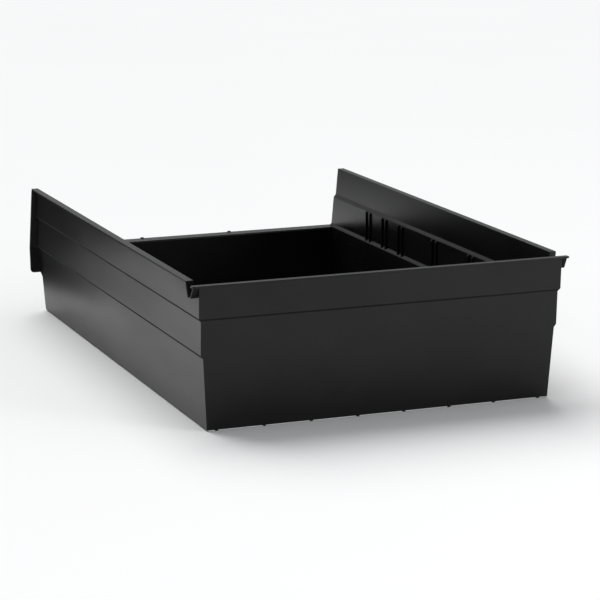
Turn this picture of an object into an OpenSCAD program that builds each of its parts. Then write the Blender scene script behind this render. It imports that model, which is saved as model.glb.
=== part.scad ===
// Nestable shelf bin: one injection-moulded tub with three-tier side walls, a low back with a
// hang ledge, outward rims, a lipped front and guides for cross dividers.
// Millimetres, +Z up, +Y to the back, origin under the middle of the bounding box.

/* [Tub] */
// Width of the tub across its underside
base_w = 259; // [200:1:300]
// Length of the tub along its underside
base_l = 429.8; // [380:1:480]
// Height of the side walls, from the tub's underside to the rims
wall_h = 104.2; // [98:0.5:125]
// Thickness of the walls
wall_t = 1.6; // [1.2:0.1:2.2]
// Thickness of the floor
floor_t = 1.8; // [1.4:0.1:2.6]
// Radius of the cove between the floor and the walls
cove_r = 3; // [1.5:0.5:5]

/* [Side wall tiers] */
// How far each side flares out over the lower tier
lower_flare = 3; // [1.5:0.1:5]
// Height of the middle of the lower joggle
tier_one_z = 52.7; // [48:0.5:58]
// Height of the middle of the upper joggle
tier_two_z = 79.1; // [74:0.5:84]
// How far each joggle steps out
joggle_out = 1.7; // [1.2:0.1:2.5]
// Height over which each joggle steps out
joggle_rise = 2.3; // [1.6:0.1:3.5]

/* [Front wall] */
// Draft of the front wall, degrees
front_draft = 3.9; // [1:0.1:6]
// How far the front wall steps out under its upper band
front_joggle_out = 0.85; // [0.4:0.05:1.5]
// Height over which the front wall steps out
front_joggle_rise = 1.2; // [0.8:0.1:2]

/* [Front lip] */
// How far the lip stands in front of the front wall
lip_reach = 1.5; // [0.8:0.1:3]
// Depth of the lip from front to back
lip_d = 5.2; // [4.5:0.1:8]
// Thickness of the lip
lip_t = 1.4; // [1:0.1:2]
// How far the lip lies below the rims
lip_drop = 0.6; // [0:0.1:2]
// How far each ear of the lip stands out from the side wall
ear_reach = 5.4; // [4.8:0.1:8]
// Radius of the lip's corners
lip_r = 1.2; // [0.5:0.1:2.2]
// Height of the wing under each ear
wing_h = 8.1; // [6:0.1:12]
// How far each wing slants back towards its foot
wing_slant = 5.2; // [2:0.1:8]
// How far each wing stays short of the end of its ear
wing_inset = 1.1; // [0.6:0.1:2.5]

/* [Rims] */
// How far each rim stands out from the side wall
rim_reach = 4; // [3:0.1:4.6]
// Thickness of the rims
rim_t = 1.6; // [1.2:0.1:2.2]
// Distance from the front edge of the lip to the front end of the rims
rim_gap = 19; // [14:0.5:30]
// Depth of the notch in each side wall between the lip and the rim
notch_d = 6; // [3:0.1:9]
// Height of the tab at the front end of each rim
tab_h = 12.2; // [6:0.1:16]
// Radius of the tab's lower corner
tab_r = 1.8; // [1:0.1:2.4]

/* [Back] */
// Draft of the back wall, degrees
back_draft = 4; // [1:0.1:6]
// Height of the top of the hang ledge
ledge_z = 52; // [46:0.5:57]
// Thickness of the hang ledge
ledge_t = 1.6; // [1.2:0.1:2.2]
// How far the hang ledge stands out behind the back wall
ledge_reach = 11.2; // [8:0.1:16]
// Drop of the return along the ledge's rear edge
return_h = 3.4; // [2:0.1:6]
// Distance between the two stop nubs on the ledge
nub_spacing = 78.7; // [50:0.1:120]
// Height of the stop nubs
nub_h = 0.9; // [0.5:0.1:1.5]

/* [Rear ears] */
// Thickness of the rear ears
ear_t = 1.6; // [1.2:0.1:2.2]
// Distance from the ledge's rear edge to the side walls, at the ledge
foot_setback = 5.7; // [4:0.1:8]
// Distance from the ledge's rear edge to the side walls, at the rims
top_setback = 18.2; // [12:0.1:26]
// Height of the rear ears' lower end
ear_foot_z = 31; // [26:0.5:40]
// Radius of the rear ears' lower corner
ear_r = 3; // [1.5:0.1:4]

/* [Divider guides] */
// Distance between neighbouring divider places
guide_pitch = 34.9; // [30:0.1:40]
// Distance from the tub's rear edge to the first divider place
guide_start = 78.8; // [60:0.1:100]
// Gap between the two ribs of a guide
guide_gap = 6.5; // [5:0.1:7.5]
// Width of each guide rib
guide_rib_w = 1.8; // [1.2:0.1:2.4]

/* [Runners] */
// Distance between neighbouring runners
runner_pitch = 34.9; // [24:0.1:36]
// Least distance from the outer runners to the sides of the tub's underside
runner_margin = 4; // [2:0.1:8]
// Width of each runner
runner_w = 2.4; // [1.6:0.1:4]
// Height of the runners
runner_h = 0.8; // [0.5:0.1:1.5]
// Side slope of the runners
runner_slope = 0.3; // [0.1:0.1:0.6]

/* [Hidden] */
$fn = 48;

// Divider places that have guides, in pitches from the first
guide_steps = [0, 1, 2, 4, 6, 8];
// How far the ribs stay short of the lower tier's inner face
guide_inset = 0.4;
// Chamfers that ease the guides' top ends and the ledge's inner edge
guide_chamfer = 1.8;
ledge_chamfer = 1;
// How far the notch's front edge leans back
notch_lean = 2;
// Size of a stop nub along and across the ledge
nub_w = 2.6;
nub_d = 2.2;
// How much narrower the tab is at its foot, and how much wider the wing
tab_taper = 1.1;
wing_flare = 0.4;
// How much lower the side wall's fin meets the back wall than the rear ear's foot
fin_drop = 3.4;

// Half widths of the three tiers, outside
half_base = base_w / 2;
half_lower = half_base + lower_flare;
half_mid = half_lower + joggle_out;
half_top = half_mid + joggle_out;
rim_half = half_top + rim_reach;
ear_half = half_top + ear_reach;

// Heights
lip_z = wall_h - lip_drop;
lip_under = lip_z - lip_t;
rim_under = wall_h - rim_t;
// A wall of even thickness turns its inner corners a little higher than its outer ones
joggle_lift = wall_t * tan(atan(joggle_out / joggle_rise) / 2);

// Lengths: the lip's front edge and the ledge's rear edge are the ends of the bin
front_run = tan(front_draft) * wall_h + front_joggle_out + lip_reach;
back_run = tan(back_draft) * ledge_z + ledge_reach;
overall_l = front_run + base_l + back_run;
front_end = -overall_l / 2;
back_end = overall_l / 2;
base_front = front_end + front_run;
base_back = back_end - back_run;
lip_back = front_end + lip_d;
rim_front = front_end + rim_gap;
rear_top = back_end - top_setback;
rear_foot = back_end - foot_setback;
fin_y = back_y(ear_foot_z) + (rear_foot - back_y(ledge_z));

// As many runners as the underside has room for
runner_count = 1 + floor((base_w - 2 * runner_margin - runner_w) / runner_pitch);

function front_step(z) = z > tier_two_z ? front_joggle_out : 0;
function front_y(z) = base_front - tan(front_draft) * z - front_step(z);
function back_y(z) = base_back + tan(back_draft) * z;
function flip(points) = [for (i = [len(points) - 1 : -1 : 0]) points[i]];
function mirrored(points) = [for (p = flip(points)) [-p.x, p.y]];
function is_end(z) = z <= 0 || z >= lip_under;

// Side wall outline in X and Z, outside and inside
side_outer = [
    [half_base, 0],
    [half_lower, tier_one_z - joggle_rise / 2],
    [half_mid, tier_one_z + joggle_rise / 2],
    [half_mid, tier_two_z - joggle_rise / 2],
    [half_top, tier_two_z + joggle_rise / 2],
    [half_top, wall_h]
];
side_inner = [for (p = side_outer) [p.x - wall_t, is_end(p.y) ? p.y : p.y + joggle_lift]];

// Front wall outline in Y and Z, outside and inside
front_low = tier_two_z - front_joggle_rise / 2;
front_high = tier_two_z + front_joggle_rise / 2;
front_outer = [for (z = [0, front_low, front_high, lip_under]) [front_y(z), z]];
front_inner = [for (p = front_outer) [p.x + wall_t, p.y]];

// Side view of the tub in Y and Z: everything that the side walls may fill
side_view = concat(
    front_outer,
    [
        [lip_back, lip_under],
        [lip_back + notch_lean, wall_h - notch_d],
        [rim_front, wall_h - notch_d],
        [rim_front, wall_h],
        [rear_top, wall_h],
        [rear_foot, ledge_z],
        [fin_y, ear_foot_z],
        [back_y(ear_foot_z - fin_drop), ear_foot_z - fin_drop],
        [back_y(0), 0]
    ]
);

// Extrudes an X-Z outline along Y
module along_y(y0, y1) {
    translate([0, y1, 0]) rotate([90, 0, 0]) linear_extrude(y1 - y0) children();
}

// Extrudes a Y-Z outline along X
module along_x(x0, x1) {
    translate([x0, 0, 0]) rotate([90, 0, 90]) linear_extrude(x1 - x0) children();
}

// Raises a piece onto the runners and colours it
module moulded() {
    color([0.07, 0.07, 0.075]) translate([0, 0, runner_h]) children();
}

module left() {
    mirror([1, 0, 0]) children();
}

// The room between the side walls' inner faces
module between_sides() {
    along_y(front_end, back_end) polygon(concat(side_inner, mirrored(side_inner)));
}

// The room between the front and back walls' inner faces
module between_ends() {
    along_x(-ear_half, ear_half) polygon(concat(
        front_inner,
        [[back_y(lip_under) - wall_t, lip_under], [back_y(0) - wall_t, 0]]
    ));
}

// Concave quarter round in the corner at the origin, rooted in the floor
module cove() {
    root = floor_t / 2;
    difference() {
        translate([0, -root]) square([cove_r, cove_r + root]);
        translate([cove_r, cove_r]) circle(cove_r);
    }
}

// Cove strips along the foot of all four walls
module floor_coves() {
    for (side = [0, 1]) mirror([side, 0, 0])
        along_y(base_front, base_back)
            translate([half_base - wall_t, floor_t]) mirror([1, 0]) cove();
    along_x(-half_base, half_base) translate([base_front + wall_t, floor_t]) cove();
    along_x(-half_base, half_base) translate([base_back - wall_t, floor_t]) mirror([1, 0]) cove();
}

module floor_panel() {
    moulded() intersection() {
        between_sides();
        between_ends();
        union() {
            translate([-half_top, front_end, 0]) cube([2 * half_top, overall_l, floor_t]);
            floor_coves();
        }
    }
}

module floor_runners() {
    color([0.07, 0.07, 0.075])
        for (i = [0 : runner_count - 1])
            translate([(i - (runner_count - 1) / 2) * runner_pitch, 0, 0])
                along_y(base_front, base_back) polygon([
                    [-runner_w / 2 + runner_slope, 0],
                    [runner_w / 2 - runner_slope, 0],
                    [runner_w / 2, runner_h],
                    [-runner_w / 2, runner_h]
                ]);
}

module front_wall() {
    moulded() intersection() {
        between_sides();
        along_x(-ear_half, ear_half) polygon(concat(front_outer, flip(front_inner)));
    }
}

module back_wall() {
    top = ledge_z - ledge_t;
    moulded() intersection() {
        between_sides();
        along_x(-ear_half, ear_half) polygon([
            [back_y(0) - wall_t, 0], [back_y(0), 0],
            [back_y(top), top], [back_y(top) - wall_t, top]
        ]);
    }
}

// Right side wall with its three tiers
module side_wall() {
    intersection() {
        along_y(front_end, back_end) polygon(concat(side_outer, flip(side_inner)));
        along_x(0, ear_half) polygon(side_view);
    }
}

module right_side_wall() {
    moulded() side_wall();
}

module left_side_wall() {
    moulded() left() side_wall();
}

// Slanted wing that props the right ear of the lip and is rooted in it
module lip_wing() {
    wing_half = ear_half - wing_inset;
    foot_z = lip_under - wing_h;
    root_z = lip_under + lip_t / 2;
    top_y = front_y(lip_under);
    intersection() {
        along_x(half_top, ear_half) polygon([
            [top_y, root_z], [top_y + wall_t, root_z], [top_y + wall_t, lip_under],
            [top_y + wall_t + wing_slant, foot_z], [top_y + wing_slant, foot_z],
            [top_y, lip_under]
        ]);
        along_y(front_end, rim_front) polygon([
            [half_top, root_z], [wing_half, root_z], [wing_half, lip_under],
            [wing_half + wing_flare, foot_z], [half_top, foot_z]
        ]);
    }
}

// Lip with rounded corners, seen from above
module lip_outline() {
    middle_x = ear_half - lip_r;
    translate([-middle_x, front_end]) square([2 * middle_x, lip_d]);
    translate([-ear_half, front_end + lip_r]) square([2 * ear_half, lip_d - 2 * lip_r]);
    for (x = [-middle_x, middle_x], y = [front_end + lip_r, lip_back - lip_r])
        translate([x, y]) circle(lip_r);
}

module front_lip() {
    moulded() {
        translate([0, 0, lip_under]) linear_extrude(lip_t) lip_outline();
        lip_wing();
        left() lip_wing();
    }
}

// Tab that closes the front end of the right rim and is rooted in it, in X and Z
module tab_outline() {
    foot = wall_h - tab_h;
    foot_x = rim_half - tab_taper;
    root_z = rim_under + rim_t / 2;
    difference() {
        polygon([
            [half_top, root_z], [rim_half, root_z], [rim_half, rim_under],
            [foot_x, foot + tab_r], [foot_x, foot], [half_top, foot]
        ]);
        difference() {
            translate([foot_x - tab_r, foot - tab_r]) square(2 * tab_r);
            translate([foot_x - tab_r, foot + tab_r]) circle(tab_r);
        }
    }
}

// Right rim with the tab at its front end
module rim() {
    intersection() {
        along_y(rim_front, rear_top)
            translate([half_top, rim_under]) square([rim_reach, rim_t]);
        along_x(half_top, rim_half) polygon(side_view);
    }
    along_y(rim_front, rim_front + rim_t) tab_outline();
}

module right_rim() {
    moulded() rim();
}

module left_rim() {
    moulded() left() rim();
}

// Stop nub, rooted in the ledge
module stop_nub() {
    root = ledge_t / 2;
    translate([-nub_w / 2, back_end - nub_d, ledge_z - root]) cube([nub_w, nub_d, nub_h + root]);
}

// Ledge behind the back wall, with a return along its rear edge
module back_hang_ledge() {
    under = ledge_z - ledge_t;
    inner_y = back_y(under) - wall_t;
    moulded() {
        difference() {
            union() {
                intersection() {
                    between_sides();
                    translate([-half_mid, inner_y, under])
                        cube([2 * half_mid, back_end - inner_y, ledge_t]);
                }
                translate([-half_mid, rear_foot, under])
                    cube([2 * half_mid, foot_setback, ledge_t]);
                translate([-half_mid, back_end - ledge_t, ledge_z - return_h])
                    cube([2 * half_mid, ledge_t, return_h]);
            }
            along_x(-ear_half, ear_half) polygon([
                [inner_y, ledge_z - ledge_chamfer], [inner_y + ledge_chamfer, ledge_z],
                [inner_y, ledge_z]
            ]);
        }
        for (x = [-nub_spacing / 2, nub_spacing / 2]) translate([x, 0, 0]) stop_nub();
    }
}

// Front view of the right rear ear in X and Z, wall included
module ear_outline() {
    translate([0, ear_foot_z + ear_r]) square([rim_half, rim_under - ear_foot_z - ear_r]);
    translate([0, ear_foot_z]) square([rim_half - ear_r, ear_r]);
    translate([rim_half - ear_r, ear_foot_z + ear_r]) circle(ear_r);
}

// Right rear ear, which follows the slanted rear edge of the side wall
module rear_ear() {
    edge_top = rear_top + (rear_foot - rear_top) * rim_t / (wall_h - ledge_z);
    difference() {
        intersection() {
            along_y(rear_top - ear_t, back_end) ear_outline();
            along_x(0, rim_half) polygon([
                [edge_top - ear_t, rim_under], [edge_top, rim_under],
                [rear_foot, ledge_z], [fin_y, ear_foot_z],
                [fin_y - ear_t, ear_foot_z], [rear_foot - ear_t, ledge_z]
            ]);
        }
        along_y(front_end, back_end) polygon(concat(side_outer, [[-1, wall_h], [-1, 0]]));
    }
}

module right_rear_ear() {
    moulded() rear_ear();
}

module left_rear_ear() {
    moulded() left() rear_ear();
}

// Pairs of ribs on the right side wall's middle tier
module divider_guides() {
    seat = half_mid - wall_t;
    face = seat - joggle_out + guide_inset;
    low = tier_one_z - joggle_rise / 2 + joggle_lift;
    high = tier_two_z - joggle_rise / 2 + joggle_lift;
    for (step = guide_steps) translate([0, base_back - guide_start - step * guide_pitch, 0])
        for (y = [-guide_gap / 2 - guide_rib_w, guide_gap / 2])
            along_y(y, y + guide_rib_w) polygon([
                [face, low + joggle_rise * guide_inset / joggle_out], [seat, low + joggle_rise],
                [seat, high], [face, high - guide_chamfer]
            ]);
}

module right_divider_guides() {
    moulded() divider_guides();
}

module left_divider_guides() {
    moulded() left() divider_guides();
}

floor_panel();
floor_runners();
front_wall();
back_wall();
left_side_wall();
right_side_wall();
front_lip();
left_rim();
right_rim();
back_hang_ledge();
left_rear_ear();
right_rear_ear();
left_divider_guides();
right_divider_guides();
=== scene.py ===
"""Black shelf bin on a plain pale floor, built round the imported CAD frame.

Every CAD node is dressed as a piece of its own: the same form with the small radii of a
moulded edge, in one procedural black polypropylene. Metres, in the frame of the CAD.
"""
import math

import bmesh
import bpy
from mathutils import Matrix, Vector
from mathutils.bvhtree import BVHTree


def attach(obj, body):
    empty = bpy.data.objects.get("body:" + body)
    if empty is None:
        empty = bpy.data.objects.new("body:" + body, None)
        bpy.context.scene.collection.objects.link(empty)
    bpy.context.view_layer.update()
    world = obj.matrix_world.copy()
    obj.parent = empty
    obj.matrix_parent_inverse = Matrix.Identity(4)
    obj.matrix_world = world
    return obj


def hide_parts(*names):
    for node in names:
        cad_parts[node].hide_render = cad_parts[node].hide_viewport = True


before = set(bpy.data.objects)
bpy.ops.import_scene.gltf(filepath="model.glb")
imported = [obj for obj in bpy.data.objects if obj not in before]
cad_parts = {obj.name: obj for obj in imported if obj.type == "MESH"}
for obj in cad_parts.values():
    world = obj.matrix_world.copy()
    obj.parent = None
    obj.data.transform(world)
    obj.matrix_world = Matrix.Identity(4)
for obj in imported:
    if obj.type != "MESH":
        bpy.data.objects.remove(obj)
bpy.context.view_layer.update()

# ---------------------------------------------------------------- camera
# Fitted to the bin's straight edges and corners in the photograph, for a sensor 36 mm wide
CAMERA_PLACE = Vector((-0.6501, -1.8021, 0.4446))
CAMERA_FORWARD = Vector((0.34123, 0.91693, -0.20687))
CAMERA_UP = Vector((0.07929, 0.19122, 0.97834))
CAMERA_LENS = 150.4
SENSOR_WIDTH = 36

# ---------------------------------------------------------------- moulded edges
# How far each bevel reaches from its edge. Right-hand pieces mirror the left-hand ones.
BEVELS = {
    "floor_panel": 0,
    "floor_runners": 0.0003,
    "front_wall": 0.00025,
    "back_wall": 0.0005,
    "left_side_wall": 0.0004,
    "front_lip": 0.0005,
    "left_rim": 0.0007,
    "back_hang_ledge": 0.0004,
    "left_rear_ear": 0.0006,
    "left_divider_guides": 0.0004,
}
BEVEL_STEPS = 3
# Pieces with corner arcs, whose short edges mustn't limit the bevel
ARCED = ("front_lip", "left_rear_ear")
# Pieces whose edges hands and shelves rub
HANDLED = ("front_lip", "left_rim", "left_rear_ear", "back_hang_ledge", "floor_runners")
# Corners closer together than these are merged, before the bevel and after it
SLIVER = 0.0001
WELD = 0.000001
# Angle between two faces: below the first they become one, above the second their edge is
# bevelled, and above the third an edge of the finished piece shades as a crease
FLAT = math.radians(0.6)
SHARP = math.radians(12)
CREASE = math.radians(24)
# How far beside an edge a neighbour is looked for, and how often along it
PROBE = 0.0002
LOOK_STEP = 0.004
LEAST_LOOKS = 3
MOST_LOOKS = 41
# How often the stretch where a neighbour starts or ends is halved to find the place
HALVINGS = 12
# The ray that tells inside from outside is askew to the axes and goes on just past each hit
SLANT = Vector((0.137, 0.271, 0.953)).normalized()
STEP_OVER = 0.0000001
MOST_HITS = 64

# ---------------------------------------------------------------- colours and studio
PLASTIC_DARK = (0.0028, 0.0028, 0.0031, 1)
PLASTIC_LIGHT = (0.0050, 0.0050, 0.0054, 1)
SCUFFED = (0.016, 0.016, 0.016, 1)
RUBBED = (0.020, 0.020, 0.021, 1)
PAPER_DARK = (0.93, 0.93, 0.93, 1)
PAPER_LIGHT = (0.95, 0.95, 0.95, 1)
CARD_BLACK = (0.02, 0.02, 0.02, 1)
SKY = (0.97, 0.98, 1.0, 1)
SKY_STRENGTH = 0.38
FLOOR_REACH = 20
# Black cards just over the floor, outside the photograph's view, darken what the walls mirror
CARD_LIFT = 0.001
CARDS = {
    "card_rear_left": [(-0.18, 0.17), (1.1, 5.5), (-4.0, 5.5), (-2.5, 1.1), (-0.25, 0.45)],
    "card_front_left": [
        (-1.7, -1.7), (0.15, -1.7), (0.15, -0.71), (-0.90, -0.32), (-1.7, -0.32),
    ],
}


def aim(obj, place, target):
    """Puts obj at place, looking at target."""
    obj.location = place
    obj.rotation_euler = (Vector(target) - Vector(place)).to_track_quat("-Z", "Y").to_euler()


def linked(name, data):
    """A new object of the scene that holds data."""
    obj = bpy.data.objects.new(name, data)
    bpy.context.scene.collection.objects.link(obj)
    return obj


def make_camera():
    """The photograph's view."""
    data = bpy.data.cameras.new("camera")
    data.sensor_width = SENSOR_WIDTH
    data.lens = CAMERA_LENS
    data.clip_start, data.clip_end = 0.05, 100
    camera = linked("camera", data)
    right = CAMERA_FORWARD.cross(CAMERA_UP).normalized()
    up = right.cross(CAMERA_FORWARD).normalized()
    turn = Matrix((right, up, -CAMERA_FORWARD.normalized())).transposed().to_4x4()
    camera.matrix_world = Matrix.Translation(CAMERA_PLACE) @ turn
    bpy.context.scene.camera = camera


# ---------------------------------------------------------------- materials
class Nodes:
    """A short way to write a material's node tree."""

    def __init__(self, name):
        self.material = bpy.data.materials.new(name)
        self.material.use_nodes = True
        self.tree = self.material.node_tree
        self.tree.nodes.clear()
        self.output = self.add("ShaderNodeOutputMaterial")
        self.place = self.add("ShaderNodeTexCoord").outputs["Object"]

    def add(self, kind, settings=None, **values):
        """A node with its settings and the values of its sockets."""
        node = self.tree.nodes.new(kind)
        for key, value in (settings or {}).items():
            setattr(node, key, value)
        for key, value in values.items():
            self.put(node.inputs[key.replace("_", " ")], value)
        return node

    def put(self, socket, value):
        """Links another node's socket to socket, or sets a constant on it."""
        if isinstance(value, bpy.types.NodeSocket):
            self.tree.links.new(value, socket)
        else:
            socket.default_value = value

    def noise(self, scale, detail=2.0, roughness=0.5, place=None):
        """A noise with scale waves per metre, unless place is stretched."""
        node = self.add("ShaderNodeTexNoise", Scale=scale, Detail=detail, Roughness=roughness)
        self.put(node.inputs["Vector"], place or self.place)
        return node.outputs["Fac"]

    def stretched(self, x, y, z):
        """The place on the piece, stretched along the axes."""
        node = self.add("ShaderNodeMapping")
        self.put(node.inputs["Vector"], self.place)
        node.inputs["Scale"].default_value = (x, y, z)
        return node.outputs["Vector"]

    def ramp(self, value, low, high, to_low=0.0, to_high=1.0):
        """Turns low to high into to_low to to_high, smoothly."""
        node = self.add("ShaderNodeMapRange", {"interpolation_type": "SMOOTHSTEP"})
        for key, number in (("Value", value), ("From Min", low), ("From Max", high),
                            ("To Min", to_low), ("To Max", to_high)):
            self.put(node.inputs[key], number)
        return node.outputs["Result"]

    def maths(self, operation, first, second):
        node = self.add("ShaderNodeMath", {"operation": operation})
        self.put(node.inputs[0], first)
        self.put(node.inputs[1], second)
        return node.outputs[0]

    def mix_colour(self, factor, first, second):
        node = self.add("ShaderNodeMix", {"data_type": "RGBA"})
        for socket in node.inputs:
            if socket.type == "RGBA" and socket.name in "AB":
                self.put(socket, first if socket.name == "A" else second)
            elif socket.name == "Factor" and socket.type == "VALUE":
                self.put(socket, factor)
        return next(socket for socket in node.outputs if socket.type == "RGBA")


def black_polypropylene():
    """Satin black moulded plastic: fine grain, faint flow, scuffs, rubbed edges, matt undersides."""
    nodes = Nodes("black_polypropylene")
    grain = nodes.noise(scale=2600, detail=2)
    flow = nodes.noise(scale=9, detail=3, place=nodes.stretched(1, 0.35, 2.2))
    cloud = nodes.noise(scale=22, detail=4)
    scuff_lines = nodes.noise(60, 5, 0.65, nodes.stretched(1.0, 0.12, 6.0))
    scuffs = nodes.maths("MULTIPLY", nodes.ramp(scuff_lines, 0.60, 0.72), nodes.ramp(cloud, 0.48, 0.62))
    worn = nodes.add("ShaderNodeAttribute", {"attribute_name": "rubbed"}).outputs["Fac"]
    rub = nodes.maths("MULTIPLY", worn, nodes.ramp(nodes.noise(140, 4), 0.35, 0.65))

    colour = nodes.mix_colour(nodes.ramp(cloud, 0.3, 0.7), PLASTIC_DARK, PLASTIC_LIGHT)
    colour = nodes.mix_colour(nodes.maths("MULTIPLY", scuffs, 0.25), colour, SCUFFED)
    colour = nodes.mix_colour(nodes.maths("MULTIPLY", rub, 0.5), colour, RUBBED)

    # Faces that look down are more matt. That is a guess, which turns the undersides of the
    # wall's steps into dark lines as in the photograph.
    facing = nodes.add("ShaderNodeSeparateXYZ")
    nodes.put(facing.inputs[0], nodes.add("ShaderNodeNewGeometry").outputs["Normal"])
    sheltered = nodes.ramp(facing.outputs["Z"], -0.5, -0.15, 1.0, 0.0)
    rough = nodes.ramp(flow, 0.28, 0.72, 0.27, 0.37)
    rough = nodes.maths("ADD", rough, nodes.maths("MULTIPLY", scuffs, 0.06))
    rough = nodes.maths("SUBTRACT", rough, nodes.maths("MULTIPLY", rub, 0.07))
    rough = nodes.maths("ADD", rough, nodes.maths("MULTIPLY", sheltered, 0.6))

    fine = nodes.add("ShaderNodeBump", Strength=0.10, Distance=0.00003, Height=grain)
    bump = nodes.add(
        "ShaderNodeBump", Strength=0.25, Distance=0.0002, Height=flow, Normal=fine.outputs[0]
    )
    shader = nodes.add(
        "ShaderNodeBsdfPrincipled", Base_Color=colour, Roughness=rough, Normal=bump.outputs[0]
    )
    shader.inputs["IOR"].default_value = 1.46
    shader.inputs["Specular IOR Level"].default_value = 0.34
    nodes.put(nodes.output.inputs["Surface"], shader.outputs[0])
    return nodes.material


def pale_floor():
    """Plain pale studio paper, open from below."""
    nodes = Nodes("pale_floor")
    tone = nodes.mix_colour(nodes.noise(3, 2), PAPER_DARK, PAPER_LIGHT)
    paper = nodes.add("ShaderNodeBsdfDiffuse", Color=tone)
    gone = nodes.add("ShaderNodeBsdfTransparent")
    mix = nodes.add("ShaderNodeMixShader")
    nodes.put(mix.inputs[0], nodes.add("ShaderNodeNewGeometry").outputs["Backfacing"])
    nodes.put(mix.inputs[1], paper.outputs[0])
    nodes.put(mix.inputs[2], gone.outputs[0])
    nodes.put(nodes.output.inputs["Surface"], mix.outputs[0])
    return nodes.material


def black_card():
    """Matt black card."""
    nodes = Nodes("black_card")
    paint = nodes.add("ShaderNodeBsdfDiffuse", Color=CARD_BLACK)
    nodes.put(nodes.output.inputs["Surface"], paint.outputs[0])
    return nodes.material


# ---------------------------------------------------------------- pieces
def solid_tree(obj):
    """A search tree of the solid's faces."""
    mesh = obj.data
    corners = [vertex.co for vertex in mesh.vertices]
    return BVHTree.FromPolygons(corners, [face.vertices for face in mesh.polygons])


TREES = {name: solid_tree(obj) for name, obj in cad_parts.items()}


def inside(tree, point):
    """True if the point lies inside the closed mesh of the tree."""
    hits = 0
    start = point.copy()
    for _ in range(MOST_HITS):
        where = tree.ray_cast(start, SLANT)[0]
        if where is None:
            break
        hits += 1
        start = where + SLANT * STEP_OVER
    return hits % 2 == 1


def backed(node, point):
    """True if another piece of the moulding fills the point."""
    return any(inside(tree, point) for name, tree in TREES.items() if name != node)


def probes(edge):
    """Where to look for a neighbour beside an edge: in front of each face, and off the edge."""
    start, end = edge.verts[0].co, edge.verts[1].co
    along = (end - start).normalized()
    offsets = []
    for face in edge.link_faces:
        inward = face.normal.cross(along)
        if inward.dot(face.calc_center_median() - start) < 0:
            inward = -inward
        offsets.append(face.normal * PROBE + inward * PROBE)
    if edge.is_convex:
        offsets.append((edge.link_faces[0].normal + edge.link_faces[1].normal) * PROBE)
    return offsets


def free_at(node, edge, offsets, share):
    """True if no neighbour touches the edge at this share of its length."""
    point = edge.verts[0].co.lerp(edge.verts[1].co, share)
    return not any(backed(node, point + offset) for offset in offsets)


def split_at_seams(node, edge):
    """Cuts an edge where a neighbour starts or ends and returns its free parts."""
    offsets = probes(edge)
    count = max(LEAST_LOOKS, min(MOST_LOOKS, int(edge.calc_length() / LOOK_STEP)))
    marks = [(i + 0.5) / count for i in range(count)]
    states = [free_at(node, edge, offsets, mark) for mark in marks]
    cuts = []
    for i in range(count - 1):
        if states[i] == states[i + 1]:
            continue
        low, high = marks[i], marks[i + 1]
        for _ in range(HALVINGS):
            middle = (low + high) / 2
            if free_at(node, edge, offsets, middle) == states[i]:
                low = middle
            else:
                high = middle
        cuts.append((low + high) / 2)
    free, state, done = [], states[0], 0.0
    rest, start = edge, edge.verts[0]
    for cut in cuts:
        new_edge, new_vert = bmesh.utils.edge_split(rest, start, (cut - done) / (1 - done))
        near = new_edge if start in new_edge.verts else rest
        far = rest if near is new_edge else new_edge
        if state:
            free.append(near)
        rest, start, done, state = far, new_vert, cut, not state
    if state:
        free.append(rest)
    return free


def skin(node):
    """The node's form with the small radii that a moulding has on its free edges."""
    form = bmesh.new()
    form.from_mesh(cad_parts[node].data)
    bmesh.ops.remove_doubles(form, verts=form.verts, dist=SLIVER)
    bmesh.ops.dissolve_limit(form, angle_limit=FLAT, verts=form.verts, edges=form.edges)
    form.normal_update()
    rubbed = form.faces.layers.float.new("rubbed")
    if BEVELS[node]:
        corners = [
            edge for edge in form.edges
            if len(edge.link_faces) == 2 and edge.calc_face_angle(0) > SHARP
        ]
        free = []
        for edge in corners:
            free += split_at_seams(node, edge)
        made = bmesh.ops.bevel(
            form, geom=free, offset=BEVELS[node], offset_type="OFFSET", segments=BEVEL_STEPS,
            profile=0.5, affect="EDGES", clamp_overlap=node not in ARCED,
        )
        for face in made["faces"]:
            face[rubbed] = 1.0 if node in HANDLED else 0.0
        bmesh.ops.remove_doubles(form, verts=form.verts, dist=WELD)
    return form


def dress(node, material):
    """A piece in the node's place, shown instead of the node, which is hidden."""
    pattern = node.replace("right_", "left_")
    form = skin(pattern)
    if pattern != node:
        bmesh.ops.scale(form, vec=(-1, 1, 1), verts=form.verts)
        bmesh.ops.reverse_faces(form, faces=form.faces)
    form.normal_update()
    for face in form.faces:
        face.smooth = True
    for edge in form.edges:
        if len(edge.link_faces) == 2 and edge.calc_face_angle(0) > CREASE:
            edge.smooth = False
    mesh = bpy.data.meshes.new(f"{node}_skin")
    form.to_mesh(mesh)
    form.free()
    mesh.materials.append(material)
    piece = linked(f"{node}_skin", mesh)
    shade = piece.modifiers.new("even_shading", "WEIGHTED_NORMAL")
    shade.keep_sharp = True
    shade.weight = 100
    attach(piece, "root")
    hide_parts(node)


# ---------------------------------------------------------------- studio
def sheet(name, corners, faces, material):
    """A flat piece of the studio, not of the bin."""
    mesh = bpy.data.meshes.new(name)
    mesh.from_pydata(corners, [], faces)
    mesh.materials.append(material)
    obj = linked(name, mesh)
    return obj


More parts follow.
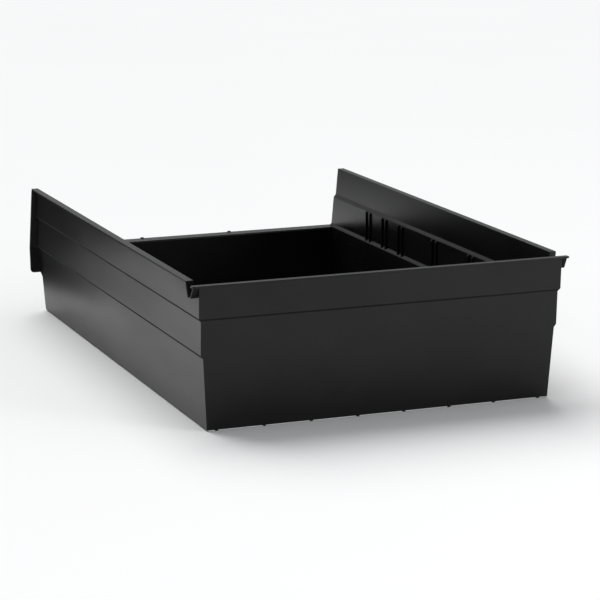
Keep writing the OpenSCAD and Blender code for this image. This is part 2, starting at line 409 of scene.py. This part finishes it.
def make_floor():
    """The floor, open under the tub so that the underside can be seen from below."""
    far = FLOOR_REACH
    tub = [vertex.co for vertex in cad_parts["floor_panel"].data.vertices]
    left, right = min(point.x for point in tub), max(point.x for point in tub)
    front, back = min(point.y for point in tub), max(point.y for point in tub)
    outer = [(-far, -far, 0), (far, -far, 0), (far, far, 0), (-far, far, 0)]
    inner = [(left, front, 0), (right, front, 0), (right, back, 0), (left, back, 0)]
    faces = [(i, (i + 1) % 4, 4 + (i + 1) % 4, 4 + i) for i in range(4)]
    sheet("floor", outer + inner, faces, pale_floor())


def make_card(name, outline):
    """A black card that only reflections show."""
    corners = [(x, y, CARD_LIFT) for x, y in outline]
    card = sheet(name, corners, [tuple(range(len(corners)))], black_card())
    card.visible_camera = False
    card.visible_diffuse = False
    card.visible_shadow = False


def softbox(name, place, target, width, depth, watts):
    """A rectangular lamp at place that points at target."""
    data = bpy.data.lights.new(name, "AREA")
    data.shape = "RECTANGLE"
    data.size, data.size_y = width, depth
    data.energy = watts
    aim(linked(name, data), place, target)


def broad_light(name, place, spread, strength):
    """One even light from the direction of place, soft as a large overhead diffuser."""
    data = bpy.data.lights.new(name, "SUN")
    data.angle = math.radians(spread)
    data.energy = strength
    aim(linked(name, data), place, (0, 0, 0))


def make_studio():
    """Floor, cards, lamps and the sky."""
    make_floor()
    for name, outline in CARDS.items():
        make_card(name, outline)
    broad_light("overhead_diffuser", place=(-0.10, 0.75, 1.0), spread=50, strength=2.45)
    softbox(
        "right_softbox", place=(1.15, -1.5, 0.55), target=(0.1, -0.2, 0.05),
        width=0.7, depth=0.6, watts=7,
    )
    world = bpy.data.worlds.new("studio")
    world.use_nodes = True
    background = world.node_tree.nodes["Background"]
    background.inputs["Color"].default_value = SKY
    background.inputs["Strength"].default_value = SKY_STRENGTH
    bpy.context.scene.world = world


make_camera()
plastic = black_polypropylene()
for node_name in sorted(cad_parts):
    dress(node_name, plastic)
make_studio()
bpy.context.scene.view_settings.view_transform = "Standard"
bpy.context.view_layer.update()
